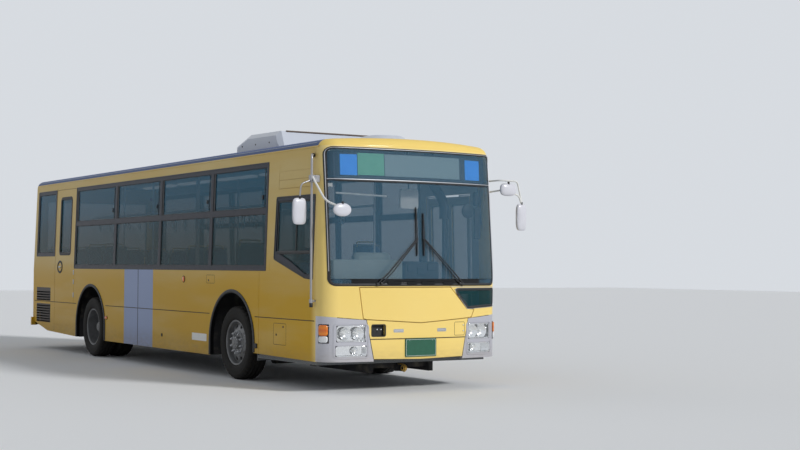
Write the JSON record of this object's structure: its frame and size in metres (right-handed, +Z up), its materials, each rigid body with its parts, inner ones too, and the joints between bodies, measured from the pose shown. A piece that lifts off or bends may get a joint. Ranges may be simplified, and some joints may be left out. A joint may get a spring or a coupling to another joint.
{
  "type": "city bus",
  "caption": "Low-floor city bus with doors on the left side, hollow cabin with cut windows, turning wheels, steering, opening doors and lids.",
  "frame": {"origin": "on the ground, on the centreline, at the middle of the overall length", "axes": "+X forward, +Y to the left side with the passenger doors, +Z up"},
  "size_m": [11.2648, 3.1525, 3.25],
  "materials": {
    "body_paint": "warm yellow gloss paint",
    "roof_paint": "blue-grey gloss paint",
    "unit_paint": "pale grey-blue paint",
    "cover_paint": "silver paint with a lavender cast",
    "lamp_lens": "clear lamp lens over a bright reflector",
    "frame_dark": "dark satin paint on aluminium section",
    "side_glass": "green tinted safety glass",
    "screen_glass": "laminated windscreen glass",
    "black_plastic": "black moulded plastic",
    "mirror_shell": "pale grey moulded shell and silver pipe",
    "floor_sheet": "grey safety flooring",
    "housing_sheet": "dark sheet steel with undercoat",
    "chassis_black": "black chassis paint",
    "engine_iron": "cast iron",
    "seat_cloth": "blue seat cloth on grey shells",
    "pole_steel": "brushed steel tube",
    "tyre": "black tyre rubber",
    "rim_paint": "silver painted steel wheel"
  },
  "bodies": {
    "root": {"side_wall_right": "body_paint", "side_wall_left": "body_paint", "front_mask": "body_paint", "rear_wall": "body_paint", "bumpers": "body_paint", "roof": "roof_paint", "roof_units": "unit_paint", "lamp_covers": "cover_paint", "lamps": "lamp_lens", "window_frames": "frame_dark", "body_glass": "side_glass", "front_glass": "screen_glass", "sign_box": "black_plastic", "mirrors": "mirror_shell", "wipers": "black_plastic", "floor": "floor_sheet", "driver_platform": "floor_sheet", "rear_floor": "floor_sheet", "housing_front_left": "housing_sheet", "housing_front_right": "housing_sheet", "housing_rear_left": "housing_sheet", "housing_rear_right": "housing_sheet", "underframe": "chassis_black", "underframe_front": "chassis_black", "underframe_rear": "chassis_black", "engine": "engine_iron", "front_axle": "chassis_black", "rear_axle": "chassis_black", "dashboard": "black_plastic", "steering_wheel": "black_plastic", "seats": "seat_cloth", "grab_poles": "pole_steel"},
    "knuckle_left": {"knuckle_left": "chassis_black"},
    "knuckle_right": {"knuckle_right": "chassis_black"},
    "wheel_front_left": {"tyre_front_left": "tyre", "rim_front_left": "rim_paint"},
    "wheel_front_right": {"tyre_front_right": "tyre", "rim_front_right": "rim_paint"},
    "wheels_rear_left": {"tyres_rear_left": "tyre", "rims_rear_left": "rim_paint"},
    "wheels_rear_right": {"tyres_rear_right": "tyre", "rims_rear_right": "rim_paint"},
    "post_rear": {"door_post_rear": "pole_steel"},
    "post_front": {"door_post_front": "pole_steel"},
    "leaf_rear": {"door_leaf_rear": "body_paint", "door_glass_rear": "side_glass"},
    "leaf_front": {"door_leaf_front": "body_paint", "door_glass_front": "side_glass"},
    "door_middle": {"door_middle": "body_paint", "door_glass_middle": "side_glass"},
    "door_emergency": {"emergency_door": "body_paint", "emergency_glass": "side_glass"},
    "hatch_rear": {"engine_hatch": "body_paint"},
    "lid_front": {"front_lid": "body_paint"}
  },
  "joints": [
    {"name": "steer_left", "type": "hinge", "parent": "root", "child": "knuckle_left", "pos_m": [2.92, 0.86, 0.479], "axis": [0, 0, 1], "range_deg": [-40, 40]},
    {"name": "steer_right", "type": "hinge", "parent": "root", "child": "knuckle_right", "pos_m": [2.92, -0.86, 0.479], "axis": [0, 0, 1], "range_deg": [-40, 40]},
    {"name": "spin_front_left", "type": "hinge", "parent": "knuckle_left", "child": "wheel_front_left", "pos_m": [2.92, 1.06, 0.479], "axis": [0, 1, 0], "continuous": true},
    {"name": "spin_front_right", "type": "hinge", "parent": "knuckle_right", "child": "wheel_front_right", "pos_m": [2.92, -1.06, 0.479], "axis": [0, 1, 0], "continuous": true},
    {"name": "spin_rear_left", "type": "hinge", "parent": "root", "child": "wheels_rear_left", "pos_m": [-2.38, 0.92, 0.479], "axis": [0, 1, 0], "continuous": true},
    {"name": "spin_rear_right", "type": "hinge", "parent": "root", "child": "wheels_rear_right", "pos_m": [-2.38, -0.92, 0.479], "axis": [0, 1, 0], "continuous": true},
    {"name": "front_door", "type": "hinge", "parent": "root", "child": "post_rear", "pos_m": [3.867, 1.196, 0.36], "axis": [0, 0, -1], "range_deg": [0, 88]},
    {"name": "leaf_rear_turn", "type": "hinge", "parent": "post_rear", "child": "leaf_rear", "pos_m": [4.128, 1.196, 0.44], "axis": [0, 0, -1], "range_deg": [-176, 0]},
    {"name": "post_front_turn", "type": "hinge", "parent": "root", "child": "post_front", "pos_m": [4.873, 1.196, 0.36], "axis": [0, 0, -1], "range_deg": [-88, 0]},
    {"name": "leaf_front_turn", "type": "hinge", "parent": "post_front", "child": "leaf_front", "pos_m": [4.612, 1.196, 0.44], "axis": [0, 0, -1], "range_deg": [0, 176]},
    {"name": "middle_door", "type": "slide", "parent": "root", "child": "door_middle", "axis": [1, 0, 0], "range_m": [0, 0.96]},
    {"name": "emergency_door", "type": "hinge", "parent": "root", "child": "door_emergency", "pos_m": [-3.203, -1.249, 1.8], "axis": [0, 0, 1], "range_deg": [0, 95]},
    {"name": "engine_hatch", "type": "hinge", "parent": "root", "child": "hatch_rear", "pos_m": [-5.562, 0, 1.333], "axis": [0, 1, 0], "range_deg": [0, 80]},
    {"name": "front_lid", "type": "hinge", "parent": "root", "child": "lid_front", "pos_m": [5.532, 0, 1.235], "axis": [0, -1, 0], "range_deg": [0, 70]}
  ],
  "couplings": [
    {"joint": "steer_right", "follows": "steer_left", "ratio": 1},
    {"joint": "leaf_rear_turn", "follows": "front_door", "ratio": -2},
    {"joint": "post_front_turn", "follows": "front_door", "ratio": -1},
    {"joint": "leaf_front_turn", "follows": "front_door", "ratio": 2}
  ]
}
